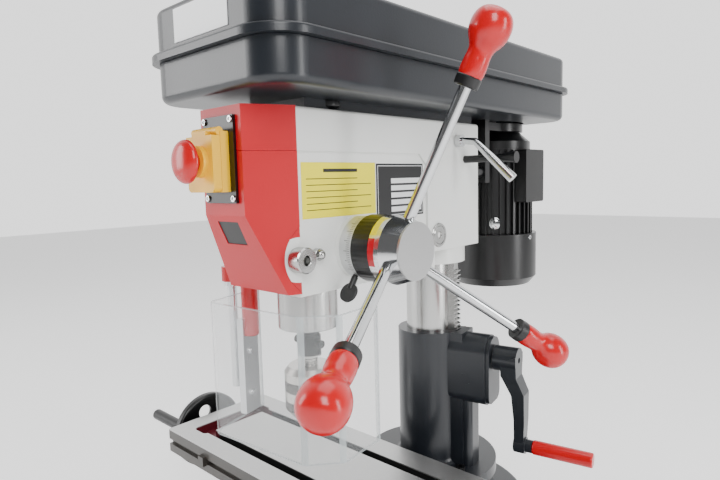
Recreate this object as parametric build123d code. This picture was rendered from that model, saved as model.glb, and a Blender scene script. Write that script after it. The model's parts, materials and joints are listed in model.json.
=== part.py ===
# Bench drill press with a rack-lifted column, quill feed, belt drive and a cross table.
# Millimetres. +Z is up, the column axis is X = Y = 0 and Z = 0 is the bench face.
# The operator stands at -Y; the feed handles are on the +X side.
from build123d import *
from math import acos, asin, atan2, cos, degrees, pi, radians, sin, sqrt, tan
import os

# ---- driving dimensions ----
run_fit = 0.05            # radial clearance of a running or sliding fit
gap = 0.3                 # air between bodies that move past each other

# base and column
base_w, base_front, base_h = 300.0, -410.0, 60.0
base_rear_r = 150.0
drum_r, drum_top = 137.0, 91.0
boss_r, boss_top = 90.0, 134.0
bench_hole_r, bench_hole_x, bench_hole_front, bench_hole_rear = 6.5, 250.0, -385.0, -85.0
column_r, column_bottom, column_top = 32.5, 60.0, 604.0
flange_r, flange_top, flange_bolt_pcr = 94.0, 150.0, 70.0
flange_bolt_start = -20.0
lock_bolt_angle = 58.0
sleeve_r, sleeve_top = 45.2, 340.0
column_wall = 4.0
rib_x = 70.0

# lifting gear; crank_angle turns it about the column
crank_angle = 10.0
lift_module, lift_teeth = 2.0, 20
rack_pitch_x, rack_w, rack_bottom, rack_top, rack_back_x = 44.0, 14.0, 146.0, 436.0, 30.0
gear_z, gear_w, gear_journal_r = 279.0, 10.0, 8.0
worm_pitch_r, worm_len, worm_shaft_r = 9.0, 26.0, 7.5
box_half_w, box_face_x, box_bottom, box_top = 24.0, 92.0, 243.0, 338.0
cover_t = 5.0
rack_tip_x = rack_pitch_x + 0.8 * lift_module
gear_x = rack_pitch_x + lift_module * lift_teeth / 2
worm_z = gear_z + lift_module * lift_teeth / 2 + worm_pitch_r
crank_r, hub_r, hub_x0, hub_x1 = 116.0, 17.0, 99.0, 131.0
grip_x0, grip_x1, grip_r = 150.0, 226.0, 9.5

# head
head_half, head_top, head_bottom = 54.0, 626.1, 438.0
head_rear, head_rear_bottom, head_front, step_y = 51.3, 459.4, -289.0, -62.0
clamp_boss_r, clamp_boss_bottom = 51.0, 437.0
recess, ledge_z, recess_rear = 3.0, 583.0, -75.0
nose_half, nose_front = 33.2, -338.4
seam_z, kink_z = 583.0, 521.9
chin_y, nose_t, cheek_r, cheek_t = -302.0, 3.0, 41.7, 14.0
window_w, window_h, window_up = 34.0, 26.0, 24.0
lock_y, lock_z, cap_nut_y = -262.5, 476.2, -244.2
plug_y, plug_z = -52.4, 479.8
lever_y, lever_z = -7.3, 601.1
tension_y, tension_z = 12.0, 577.0
spindle_y = -234.1

# quill and spindle
quill_r, quill_bottom, quill_top, quill_travel = 20.0, 388.0, 590.0, 60.0
feed_module, feed_teeth, feed_offset, feed_z = 1.5, 14, 29.2, 480.6
feed_y, feed_shaft_r = spindle_y + feed_offset, 12.4
spindle_r, spindle_top, nose_top, nose_bottom = 11.0, 700.0, 379.0, 356.0
collar_r, collar_bottom, collar_top = 34.0, 390.0, 434.0
chuck_r, chuck_bottom, chuck_top = 29.5, 291.0, 345.0

# feed hub and handles
dial_r, dial_x0, dial_x1 = 34.0, 57.0, 75.0
depth_x1, band_x1 = 98.0, 106.3
hub_r_big, hub_r_cap, feed_hub_x1, cap_t = 36.0, 29.8, 131.0, 2.4
spoke_root_x, spoke_cone, spoke_r, spoke_len = 105.6, 23.9, 6.0, 230.0
spoke_angles = (8.1, 128.1, 248.1)
knob_r = 20.0
wing_angle, wing_r = 236.0, 10.5

# pulley cover
cover_half, cover_front, cover_rear = 105.3, -354.8, 239.2
tray_bottom, tray_top, lip_bottom, lip_top, lid_top = 636.5, 676.2, 676.7, 685.4, 729.6
lip_out, cover_corner, sheet_t = 7.5, 38.0, 2.5
hinge_y, hinge_z, knuckle_in, knuckle_out = 252.0, 681.0, 19.0, 31.0

# drive
motor_y, motor_r, fan_r = 182.8, 58.0, 69.0
fan_bottom, fan_top, body_top, dome_top = 380.0, 462.0, 595.0, 622.0
step_radii, step_h, pulley_bottom = (28.0, 36.0, 44.0, 51.0), 15.0, 648.0
belt_step, belt_h, belt_t = 1, 8.0, 7.0
rod_x, rod_y0, rod_z, rod_r, motor_travel = 42.0, -4.0, 560.0, 8.0, 12.0

# cross table
table_x0, table_x1, table_y0, table_y1 = -290.0, 210.0, -260.2, -85.9
table_bottom, table_top = 158.0, 192.0
trough_x0, trough_x1, stop_x, groove_z0, groove_z1 = -261.0, -231.0, -198.0, 170.0, 177.0
slot_w, slot_depth, slot_front_y, slot_rear_y = 13.0, 20.0, -224.4, -126.8
screw_y, screw_z, screw_r = -173.0, 152.0, 7.0
saddle_x, saddle_y0, saddle_y1 = 80.0, -233.0, -133.0
ways_x, ways_y0, ways_y1, ways_top = 60.0, -392.0, -139.0, 104.0
tail_h, tail_flare = 10.0, 6.0
ways_half, rail_half = 40.0, 30.0
saddle_top = table_bottom - gap
y_screw_z = 84.0
wheel_r, wheel_w, wheel_depth = 59.0, 14.0, 26.0
handle_r, handle_len, handle_circle = 8.5, 78.0, 47.0
bracket_t = 16.0

# guard
guard_bottom, guard_top, guard_t = 270.0, 422.0, 3.0
guard_rear_left, guard_front_left = (-98.0, -229.0), (-75.0, -315.0)
guard_front_right, guard_side_right, guard_rear_right = (61.0, -301.0), (88.0, -271.0), (82.0, -210.0)
post_x, post_y, post_r, post_bottom, post_top = -113.0, -257.0, 5.5, 300.0, 504.0
rail_w, rail_d, rail_bottom, rail_top = 27.0, 9.0, 276.0, 392.0
rail_along = 0.36
arm_r, arm_low, arm_top, stop_collar_z = 10.0, 371.0, 452.0, 428.0
screw_high_z, screw_low_z = 351.0, 299.0

# switch
plate_half_w, plate_z0, plate_z1, plate_t = 25.0, 534.0, 617.0, 3.0
box_x0, box_x1, box_z0, box_z1, box_d, lid_d = -27.0, 17.0, 545.0, 606.0, 9.0, 9.0
mushroom_r, mushroom_z, mushroom_stem_r, mushroom_travel = 20.5, 574.0, 8.0, 4.0
button_r, button_offset, button_out, button_travel = 6.0, 14.5, 2.5, 2.5
lid_hinge_r = 4.0
box_mid = (box_x0 + box_x1) / 2
box_face = nose_front - plate_t - box_d
lid_face = box_face - gap - lid_d


# ---- shape helpers ----
def block(x0, x1, y0, y1, z0, z1):
    return Pos((x0 + x1) / 2, (y0 + y1) / 2, (z0 + z1) / 2) * Box(x1 - x0, y1 - y0, z1 - z0)


def upright(x, y, z0, z1, r, r_top=None):
    height = z1 - z0
    solid = Cylinder(r, height) if r_top is None else Cone(r, r_top, height)
    return Pos(x, y, z0 + height / 2) * solid


def across(x0, x1, y, z, r, r_end=None):
    """A round bar or cone along +X."""
    length = x1 - x0
    solid = Cylinder(r, length) if r_end is None else Cone(r, r_end, length)
    return Pos(x0 + length / 2, y, z) * Rot(0, 90, 0) * solid


def along_y(x, y0, y1, z, r, r_end=None):
    """A round bar or cone along +Y."""
    length = y1 - y0
    solid = Cylinder(r, length) if r_end is None else Cone(r, r_end, length)
    return Pos(x, y0 + length / 2, z) * Rot(-90, 0, 0) * solid


def prism_x(points, x0, x1):
    """A (y, z) outline extruded along X."""
    face = Plane.YZ.offset(x0) * make_face(Polyline(*points, close=True))
    return extrude(face, x1 - x0)


def prism_y(points, y0, y1):
    """An (x, z) outline extruded along Y."""
    face = Plane.XZ.offset(-y0) * make_face(Polyline(*points, close=True))
    return extrude(face, -(y1 - y0))


def prism_z(points, z0, z1):
    face = Plane.XY.offset(z0) * make_face(Polyline(*points, close=True))
    return extrude(face, z1 - z0)


def rounded(x0, x1, y0, y1, z0, z1, r):
    face = Plane.XY.offset(z0) * Pos((x0 + x1) / 2, (y0 + y1) / 2) * RectangleRounded(x1 - x0, y1 - y0, r)
    return extrude(face, z1 - z0)


def hexagon(across_flats, height):
    return extrude(RegularPolygon(across_flats / 2, 6, major_radius=False), height)


def circles_at(solid, z):
    return solid.edges().filter_by(GeomType.CIRCLE).filter_by(lambda e: abs(e.center().Z - z) < 0.1)


def involute(angle):
    return tan(angle) - angle


def gear_outline(module, teeth, addendum, dedendum, backlash, phase):
    """Points of an involute gear; phase is the angle of the middle of one gap, in degrees."""
    pitch_r = module * teeth / 2
    base_r = pitch_r * cos(radians(20))
    root_r, tip_r = pitch_r - dedendum, pitch_r + addendum
    half_pitch = (pi * module / 2 - backlash) / (2 * pitch_r)

    def half_angle(r):
        pressure = acos(min(1.0, base_r / max(r, base_r)))
        return half_pitch + involute(radians(20)) - involute(pressure)

    radii = [root_r] + [base_r + (tip_r - base_r) * k / 4 for k in range(5) if base_r > root_r or k]
    points = []
    for tooth in range(teeth):
        middle = radians(phase) + 2 * pi * (tooth + 0.5) / teeth
        flank = [(r, middle - half_angle(r)) for r in radii]
        flank += [(r, middle + half_angle(r)) for r in reversed(radii)]
        points += [(r * cos(a), r * sin(a)) for r, a in flank]
    return points


def rack_edge(module, first, last, centre, pitch_line, addendum, dedendum, backlash):
    """Toothed edge as (depth, length) points; one tooth is centred at length = centre."""
    pitch = pi * module
    slope = tan(radians(20))
    half = pitch / 4 - backlash / 2
    low = int((centre - first) // pitch) - 1
    high = int((last - centre) // pitch) - 1
    points = []
    for tooth in range(-low, high + 1):
        middle = centre + tooth * pitch
        foot, tip = half + dedendum * slope, half - addendum * slope
        points += [(pitch_line - dedendum, middle - foot), (pitch_line + addendum, middle - tip),
                   (pitch_line + addendum, middle + tip), (pitch_line - dedendum, middle + foot)]
    return points


def socket_screw(head_r, head_h, shank_r, shank_len, key):
    """Upright socket screw whose head sits on Z = 0."""
    screw = upright(0, 0, 0, head_h, head_r)
    screw += upright(0, 0, -shank_len, 0, shank_r)
    return screw - Pos(0, 0, head_h / 2) * hexagon(key, head_h)


def turned(solid):
    """From the lifting gear's own frame, where the rack faces +X, to the machine's."""
    return Rot(0, 0, crank_angle) * solid


# ---- base ----
def base_casting():
    front_mid = base_front / 2
    body = Pos(0, front_mid, base_h / 2) * Box(base_w, -base_front, base_h)
    body = fillet(body.edges().filter_by(Axis.Z).group_by(Axis.Y)[0], 30)
    body += upright(0, 0, 0, base_h, base_rear_r)
    body += upright(0, 0, base_h - 1, drum_top, drum_r)
    body += upright(0, 0, drum_top - 1, boss_top, boss_r)
    body = fillet(circles_at(body, drum_top), 6)
    body -= upright(0, 0, column_bottom - 10, boss_top + 1, column_r + gap)
    body -= rounded(-105, 105, base_front + 20, -165, -1, base_h - 16, 20)
    for x in (-bench_hole_x / 2, bench_hole_x / 2):
        for y in (bench_hole_front, bench_hole_rear):
            body -= upright(x, y, -1, base_h + 1, bench_hole_r)
    return body


def flange_bolt_spots():
    return [(flange_bolt_pcr * cos(radians(flange_bolt_start + 90 * k)),
             flange_bolt_pcr * sin(radians(flange_bolt_start + 90 * k))) for k in range(4)]


def column_sleeve():
    body = upright(0, 0, boss_top, flange_top, flange_r) + upright(0, 0, boss_top, sleeve_top, sleeve_r)
    body = fillet(circles_at(body, flange_top).filter_by(lambda e: e.radius < flange_r - 1), 9)
    channel = block(20, rack_tip_x + 13, 4 - box_half_w, box_half_w - 4, boss_top, sleeve_top)
    rib = fillet(block(20, rib_x, 6 - box_half_w, box_half_w - 6, boss_top, box_bottom + 10).edges()
                 .filter_by(Axis.Z).group_by(Axis.X)[-1], 8)
    housing = block(20, box_face_x, -box_half_w, box_half_w, box_bottom, box_top)
    housing = fillet(housing.edges().filter_by(Axis.X).group_by(Axis.Z)[-1], box_half_w - 1)
    housing = fillet(housing.edges().filter_by(Axis.X).group_by(Axis.Z)[0], 14)
    body += turned(channel + rib) + turned(housing)
    body += lock_boss()
    body -= Rot(0, 0, lock_bolt_angle) * across(sleeve_r, sleeve_r + 13, 0, sleeve_top - 16, 4.2)
    body -= upright(0, 0, boss_top - 1, sleeve_top + 1, column_r + run_fit)
    half = rack_w / 2 + 0.5
    body -= turned(block(20, rack_tip_x + 1, -half, half, boss_top - 1, sleeve_top + 1))
    gear_tip = lift_module * (lift_teeth / 2 + 0.9)
    cavity = block(rack_tip_x, gear_x + gear_tip + 1, -box_half_w + 8, box_half_w - 8,
                   gear_z - gear_tip - 3, worm_z + worm_pitch_r + 6)
    mouth = block(gear_x, box_face_x + 1, -box_half_w + 9, box_half_w - 9,
                  gear_z - gear_tip - 2, worm_z + worm_pitch_r + 5)
    body -= turned(cavity) + turned(mouth)
    body -= turned(along_y(gear_x, -box_half_w - 1, box_half_w + 1, gear_z, gear_journal_r + run_fit))
    for x, y in flange_bolt_spots():
        body -= upright(x, y, boss_top - 1, flange_top + 1, 4.5)
    return body


def lock_boss():
    return Rot(0, 0, lock_bolt_angle) * across(sleeve_r - 6, sleeve_r + 12, 0, sleeve_top - 16, 10)


def sleeve_bolts():
    bolts = [Pos(x, y, flange_top) * socket_screw(6.5, 8, 4.5, flange_top - boss_top, 6)
             for x, y in flange_bolt_spots()]
    lock = Rot(0, 0, lock_bolt_angle) * Pos(sleeve_r + 12, 0, sleeve_top - 16) * Rot(0, 90, 0)
    lock *= socket_screw(6.5, 8, 4.2, 10, 6)
    return Compound(children=[b.solid() for b in bolts] + [lock.solid()])


def gearbox_cover():
    half = box_half_w - 2
    plate = block(box_face_x, box_face_x + cover_t, -half, half, box_bottom + 2, box_top - 2)
    plate = fillet(plate.edges().filter_by(Axis.X).group_by(Axis.Z)[-1], box_half_w - 3)
    plate = fillet(plate.edges().filter_by(Axis.X).group_by(Axis.Z)[0], 12)
    plate += across(box_face_x - 4, box_face_x + 1, 0, worm_z, worm_shaft_r + 6)
    return turned(plate - across(box_face_x - 6, box_face_x + cover_t + 1, 0, worm_z, worm_shaft_r + run_fit))


def worm_shaft():
    core_r = worm_pitch_r - 1.1 * lift_module
    lead = pi * lift_module
    start = gear_x - worm_len / 2
    shaft = Cylinder(core_r, worm_len + 4, align=(Align.CENTER, Align.CENTER, Align.MIN))
    turns = int(worm_len / lead)
    path = Helix(lead, lead * turns, worm_pitch_r)
    half, slope = 1.2, tan(radians(20))
    inner, outer = core_r - 0.3 - worm_pitch_r, 0.8 * lift_module
    tooth = make_face(Polyline((inner, -half + inner * slope), (outer, -half + outer * slope),
                               (outer, half - outer * slope), (inner, half - inner * slope), close=True))
    thread = sweep(Plane(origin=path @ 0, x_dir=(1, 0, 0), z_dir=path % 0) * tooth, path=path, is_frenet=True)
    # the thread crosses the bottom of the worm above the gear's middle
    worm = Rot(0, 0, worm_phase()) * thread
    worm = Pos(0, 0, 2) * worm + shaft
    worm = Pos(start - 2, 0, worm_z) * Rot(0, 90, 0) * worm
    worm += across(start + worm_len + 1, hub_x1 - 6, 0, worm_z, worm_shaft_r)
    return turned(worm)


def worm_phase():
    """Turn of the thread that puts it in a gap of the gear, in degrees about the worm's axis."""
    lead = pi * lift_module
    reach = (worm_len / 2) % lead
    return -360 * reach / lead


def lift_gear():
    outline = gear_outline(lift_module, lift_teeth, 0.9 * lift_module, 1.1 * lift_module, 0.75, 180)
    wheel = extrude(make_face(Polyline(*outline, close=True)), gear_w)
    wheel = Pos(gear_x, gear_w / 2, gear_z) * Rot(90, 0, 0) * wheel
    shaft = along_y(gear_x, -box_half_w, box_half_w, gear_z, gear_journal_r)
    return turned(wheel + shaft)


# ---- crank ----
def crank_arm():
    top, low = worm_z, worm_z - crank_r
    outer = [(hub_x1, top + 8), (hub_x1, top - 22), (141, top - 44), (141, top - 82), (139, low - 8)]
    inner = [(127, low - 8), (127, top - 80), (124, top - 46), (hub_x0 + 11, top - 20)]
    side = prism_y([(hub_x0 + 11, top)] + outer + inner, -22, 22)
    front = prism_x([(-hub_r, top + 8), (hub_r, top + 8), (13, top - 30), (9, low), (9, low - 8),
                     (-9, low - 8), (-9, low), (-13, top - 30)], hub_x0, 150)
    arm = side & front
    arm += across(hub_x0, hub_x1, 0, top, hub_r)
    arm += across(126, 141, 0, low, 11)
    arm += across(140, grip_x0, 0, low, 8.5)
    arm += across(140, grip_x1 - 6, 0, low, 4)
    arm -= across(hub_x0 - 1, hub_x1 - 6, 0, top, worm_shaft_r)
    arm -= across(hub_x1 - 7, hub_x1 + 1, 0, top, 4)
    return turned(arm)


def crank_grip():
    low = worm_z - crank_r
    grip = across(grip_x0 + gap, grip_x1, 0, low, grip_r)
    grip = fillet(grip.edges().filter_by(GeomType.CIRCLE), 2)
    return turned(grip - across(grip_x0 - 1, grip_x1 - 5, 0, low, 4 + run_fit))


# ---- column ----
def column():
    tube = upright(0, 0, column_bottom, column_top, column_r)
    tube -= upright(0, 0, column_bottom - 1, column_top + 1, column_r - column_wall)
    half = rack_w / 2
    return tube - turned(block(rack_back_x, column_r + 5, -half, half, rack_bottom, rack_top))


def column_rack():
    edge = rack_edge(lift_module, rack_bottom, rack_top, gear_z, rack_pitch_x, 0.8 * lift_module,
                     1.1 * lift_module, 0.35)
    root = rack_pitch_x - 1.1 * lift_module
    outline = [(rack_back_x, rack_bottom), (root, rack_bottom)] + edge
    outline += [(root, rack_top), (rack_back_x, rack_top)]
    return turned(prism_y(outline, -rack_w / 2, rack_w / 2))


# ---- head ----
def head_side():
    return [(head_front, head_bottom), (head_front, head_top), (head_rear, head_top),
            (head_rear, head_rear_bottom), (step_y, head_rear_bottom), (step_y, head_bottom)]


def head_casting():
    body = prism_x(head_side(), -head_half, head_half)
    body = fillet(body.edges().filter_by(Axis.Z).group_by(Axis.Y)[-1], 8)
    body = fillet(body.edges().filter_by(Axis.Y).group_by(Axis.Z)[-1], 4)
    panel = [(head_front - 1, head_bottom - 1), (head_front - 1, ledge_z), (recess_rear - 16, ledge_z),
             (recess_rear, ledge_z - 16), (recess_rear, head_bottom - 1)]
    for side in (-1, 1):
        edge = side * head_half
        body -= prism_x(panel, min(edge, edge - side * recess), max(edge, edge - side * recess))
    body += upright(0, 0, clamp_boss_bottom, head_rear_bottom + 5, clamp_boss_r)
    body += upright(0, spindle_y, head_bottom - 2, head_bottom + 1, collar_r + 4)
    body += nose_tongue()
    for side in (-1, 1):
        body += cheek(side)
    # feed shaft bosses and the quill and column bores
    body += across(-head_half - 6, -head_half + 6, feed_y, feed_z, 30)
    body += across(head_half - 6, dial_x0 - gap, feed_y, feed_z, dial_r)
    front_room = spindle_y - quill_r - 12
    rear_room = spindle_y + quill_r + 40
    half = head_half - 14
    body -= block(-half, half, head_front + 12, front_room, head_bottom + 30, head_top - 12)
    half = head_half - 12
    body -= block(-half, half, rear_room, -column_r - 14, head_bottom + 14, head_top - 14)
    body -= upright(0, 0, clamp_boss_bottom - 1, column_top + gap, column_r + run_fit)
    body -= upright(0, spindle_y, head_bottom - 3, quill_top + 2, quill_r + run_fit)
    body -= upright(0, spindle_y, quill_top, head_top + 1, 17 + run_fit)
    body -= across(-head_half - 7, dial_x1 + 1, feed_y, feed_z, feed_shaft_r + run_fit)
    for side in (-1, 1):
        rod_end = rod_y0 - motor_travel - 2
        body -= along_y(side * rod_x, rod_end, head_rear + 1, rod_z, rod_r + run_fit)
    body -= across(head_half - 8, head_half + 1, lever_y, lever_z, 5 + run_fit)
    body -= across(head_half - 10, head_half + 1, tension_y, tension_z, 5 + run_fit)
    return body


def nose_outline(inset):
    """Plan of the tapered nose as (x, y), from the head's front to the flat front face."""
    return [(-head_half + inset, head_front + inset), (-nose_half + inset, nose_front + inset),
            (nose_half - inset, nose_front + inset), (head_half - inset, head_front + inset)]


def chin(inset):
    """What the slanted chin cuts away, moved inward by inset."""
    front, low = nose_front + inset, head_bottom + 4 + inset
    return prism_x([(front - 20, kink_z), (front, kink_z), (chin_y + inset, low), (chin_y + inset, low - 30),
                    (front - 20, low - 30)], -head_half - 1, head_half + 1)


def nose_shell(z0, z1):
    """Outer skin of the nose between two heights, open at the back."""
    outer = prism_z(nose_outline(0), z0, z1)
    inner = prism_z(nose_outline(nose_t), z0 - 1, z1 + 1)
    half = head_half - nose_t
    inner += block(-half, half, head_front - 1, head_front + nose_t + 1, z0 - 1, z1 + 1)
    return outer, inner


def nose_tongue():
    """The casting's front end, which the front covers close on."""
    tongue = block(-18, 18, nose_front + nose_t, head_front + 1, head_top - 18, head_top - nose_t)
    tongue += block(-18, 18, nose_front + nose_t, head_front + 1, kink_z + 4, plate_z0 + 8)
    return tongue - block(box_mid - 16, box_mid + 11, nose_front, head_front - 20, box_z0 + 4, box_z1 - 4)


def cheek(side):
    """Round front end of the side wall about the quill lock."""
    disc = across(-head_half, head_half, lock_y, lock_z, cheek_r)
    disc &= prism_z(nose_outline(0), head_bottom + 4, head_top)
    x0, x1 = sorted((side * head_half, side * (head_half - cheek_t)))
    return disc & block(x0, x1, nose_front, head_front + 1, head_bottom + 4, head_top)


def front_cover_upper():
    outer, inner = nose_shell(seam_z + gap, head_top)
    inner &= block(-head_half, head_half, nose_front, head_front + 9, seam_z, head_top - nose_t)
    return outer - inner - contact_opening()


def contact_opening():
    y0, y1 = nose_front - plate_t - 1, nose_front + nose_t + 1
    return block(box_mid - 15, box_mid + 10, y0, y1, box_z0 + 5, box_z1 - 5)


def front_cover_lower():
    outer, inner = nose_shell(head_bottom + 4, seam_z)
    inner &= block(-head_half, head_half, nose_front, head_front + 9, head_bottom + 4 + nose_t, seam_z + 1)
    cover = outer - chin(0) - (inner - chin(nose_t))
    cover -= contact_opening()
    cover -= window_pocket()
    return cover - across(-head_half - 1, head_half + 1, lock_y, lock_z, cheek_r + gap)


def window_plane(sink):
    """Plane of the depth window on the slanted chin, sunk below the chin's surface."""
    low = head_bottom + 4
    rise = (kink_z - low) / (chin_y - nose_front)
    length = sqrt(1 + rise * rise)
    out = Vector(0, -rise / length, -1 / length)
    up = Vector(0, -1 / length, rise / length)
    middle = Vector(0, (nose_front + chin_y) / 2, (kink_z + low) / 2)
    return Plane(origin=middle + up * window_up - out * sink, x_dir=(1, 0, 0), z_dir=out)


def window_pocket():
    return window_plane(0) * Box(window_w, window_h, 4 * nose_t)


def depth_window():
    return window_plane(1.8) * Box(window_w, window_h, 2)


def quill_lock_screw():
    ring = across(head_half - recess, head_half + 11, lock_y, lock_z, 13)
    return ring - Pos(head_half + 4, lock_y, lock_z) * Rot(0, 90, 0) * hexagon(10, 12)


def head_lock_screws():
    plugs = []
    for side in (-1, 1):
        x0, x1 = sorted((side * head_half, side * (head_half + 2)))
        socket_x = head_half + 1 if side > 0 else -head_half - 4
        plug = across(x0, x1, plug_y, plug_z, 15.5)
        plug -= Pos(socket_x, plug_y, plug_z) * Rot(0, 90, 0) * hexagon(8, 3)
        plugs.append(plug.solid())
    nut = across(head_half - recess, head_half + 5, cap_nut_y, plug_z, 4.8)
    nut += Pos(head_half + 5, cap_nut_y, plug_z) * Sphere(4.5)
    return Compound(children=plugs + [nut.solid(), quill_lock_screw().solid()])


# ---- feed ----
def feed_shaft():
    shaft = across(-head_half - 20, -16, feed_y, feed_z, feed_shaft_r)
    shaft += across(-17, 17, feed_y, feed_z, 8.5)
    shaft += across(16, feed_hub_x1 - 20, feed_y, feed_z, feed_shaft_r)
    outline = gear_outline(feed_module, feed_teeth, 0.9 * feed_module, 1.15 * feed_module, 0.25, 180)
    pinion = Plane(origin=(-13, feed_y, feed_z), x_dir=(0, 1, 0), z_dir=(1, 0, 0)) * extrude(
        make_face(Polyline(*outline, close=True)), 26)
    return shaft + pinion


def dial_ring():
    ring = across(dial_x0, dial_x1, feed_y, feed_z, dial_r)
    ring += across(dial_x1 - 0.01, depth_x1, feed_y, feed_z, hub_r_big)
    ring -= across(dial_x0 - 1, depth_x1 + 1, feed_y, feed_z, feed_shaft_r + run_fit)
    return ring - wing_frame() * Cylinder(3 + run_fit, 17)


def wing_frame():
    """Plane on the dial's rim whose +Z runs out along the wing screw."""
    out = Vector(0, cos(radians(wing_angle)), sin(radians(wing_angle)))
    middle = Vector((dial_x0 + dial_x1) / 2, feed_y, feed_z)
    return Plane(origin=middle + out * dial_r, x_dir=(1, 0, 0), z_dir=out)


def wing_lock():
    leaf = Pos(0, 0, 20) * Rot(90, 0, 0) * Cylinder(wing_r, 3.4) + Pos(0, 0, 9) * Cylinder(3.6, 14)
    return wing_frame() * (leaf + Cylinder(3, 16))


def feed_hub():
    hub = across(depth_x1 + gap, band_x1, feed_y, feed_z, hub_r_big)
    hub += across(band_x1 - 0.01, 112, feed_y, feed_z, hub_r_big)
    hub += across(111.9, feed_hub_x1, feed_y, feed_z, hub_r_big, hub_r_cap)
    for spoke in spokes(spoke_r):
        hub -= spoke
    return hub - across(80, feed_hub_x1 - 19.9, feed_y, feed_z, feed_shaft_r)


def hub_cap():
    return across(feed_hub_x1, feed_hub_x1 + cap_t, feed_y, feed_z, hub_r_cap)


def spoke_frame(angle):
    """Plane at the spoke's root whose +Z runs out along the spoke."""
    lean = radians(spoke_cone)
    turn = radians(angle)
    out = (sin(lean), cos(lean) * sin(turn), cos(lean) * cos(turn))
    side = (cos(lean), -sin(lean) * sin(turn), -sin(lean) * cos(turn))
    return Plane(origin=(spoke_root_x, feed_y, feed_z), x_dir=side, z_dir=out)


def spokes(r):
    return [spoke_frame(a) * upright(0, 0, 15.5, spoke_len - 14, r) for a in spoke_angles]


def feed_spokes():
    return Compound(children=[s.solid() for s in spokes(spoke_r)])


def knob():
    """Mushroom knob along +Z, its ball centred at Z = 0, bored for the spoke."""
    solid = upright(0, 0, -46, -38, 10.5, 12) + upright(0, 0, -38, -14, 12, 13.5) + Sphere(knob_r)
    return solid - upright(0, 0, -48, -14, spoke_r)


def feed_knobs():
    placed = [spoke_frame(a) * Pos(0, 0, spoke_len) * knob() for a in spoke_angles]
    return Compound(children=[k.solid() for k in placed])


def spring_housing():
    can = across(-head_half - 26, -head_half - 6, feed_y, feed_z, 30)
    can -= across(-head_half - 23, -head_half - 5, feed_y, feed_z, 26)
    return can


def return_spring():
    x0, x1 = -head_half - 21, -head_half - 9
    rings = []
    for k in range(5):
        r = 25.5 - 2.4 * k
        ring = across(x0, x1, feed_y, feed_z, r) - across(x0 - 1, x1 + 1, feed_y, feed_z, r - 0.6)
        inner = r - 3.5 if k < 4 else feed_shaft_r + gap
        rings.append(ring + block(x0, x1, feed_y + inner, feed_y + r - 0.2, feed_z - 0.5, feed_z + 0.5))
    return rings[0] + rings[1:]


# ---- quill and spindle ----
def quill():
    body = upright(0, spindle_y, quill_bottom, quill_top, quill_r)
    body -= upright(0, spindle_y, quill_bottom - 1, quill_top + 1, spindle_r + run_fit)
    pitch_line = feed_offset - feed_module * feed_teeth / 2
    edge = rack_edge(feed_module, feed_z - 14, feed_z + quill_travel + 14, feed_z, pitch_line,
                     quill_r - pitch_line, 1.15 * feed_module, 0.12)
    (root, low), (_, high) = edge[0], edge[-1]
    far = quill_r + 5
    outline = [(far, low - 1.5), (root, low - 1.5)] + edge + [(root, high + 1.5), (far, high + 1.5)]
    return body - prism_x([(spindle_y + depth, z) for depth, z in outline], -14, 14)


def quill_collar():
    ring = upright(0, spindle_y, collar_bottom, collar_top, collar_r)
    ring = fillet(ring.edges().filter_by(GeomType.CIRCLE).group_by(Axis.Z)[0], 1.5)
    return ring - upright(0, spindle_y, collar_bottom - 1, collar_top + 1, quill_r)


def spindle():
    rod = upright(0, spindle_y, quill_bottom - 4, spindle_top, spindle_r)
    rod += upright(0, spindle_y, nose_top, quill_bottom - 4, 12)
    rod += upright(0, spindle_y, nose_bottom, nose_top, 13.5)
    rod += across(-21, 21, spindle_y, (nose_top + nose_bottom) / 2 + 4, 4.5)
    for k in range(4):
        rod += upright(0, spindle_y, chuck_top + 3 * k, chuck_top + 3 * k + 1.6, 9)
    rod += upright(0, spindle_y, chuck_top - 12, nose_bottom, 7.5)
    return rod


def chuck_body():
    body = upright(0, spindle_y, chuck_top - 16, chuck_top - 6, chuck_r)
    body += upright(0, spindle_y, chuck_top - 6, chuck_top, chuck_r, chuck_r - 5)
    body += upright(0, spindle_y, chuck_bottom + 6, chuck_top - 15, 20)
    body -= upright(0, spindle_y, chuck_top - 13, chuck_top + 1, 7.5)
    body -= upright(0, spindle_y, chuck_bottom - 1, chuck_top - 14, 6)
    return body


def chuck_sleeve():
    sleeve = upright(0, spindle_y, chuck_bottom + 5, chuck_top - 16 - gap, chuck_r)
    sleeve += upright(0, spindle_y, chuck_bottom - 6, chuck_bottom + 5, chuck_r - 9, chuck_r)
    return sleeve - upright(0, spindle_y, chuck_bottom - 7, chuck_top, 20 + run_fit)


def chuck_jaws():
    jaws = []
    for k in range(3):
        jaw = block(3.6, 5.6, -2, 2, chuck_bottom - 9, chuck_top - 14)
        jaws.append((Pos(0, spindle_y, 0) * Rot(0, 0, 120 * k + 30) * jaw).solid())
    return Compound(children=jaws)


# ---- belt drive ----
def cover_room(z0, z1):
    """Hollow of the pulley cover between two heights."""
    half = cover_half - sheet_t
    return rounded(-half, half, cover_front + sheet_t, cover_rear - sheet_t, z0, z1, cover_corner - sheet_t)


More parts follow.
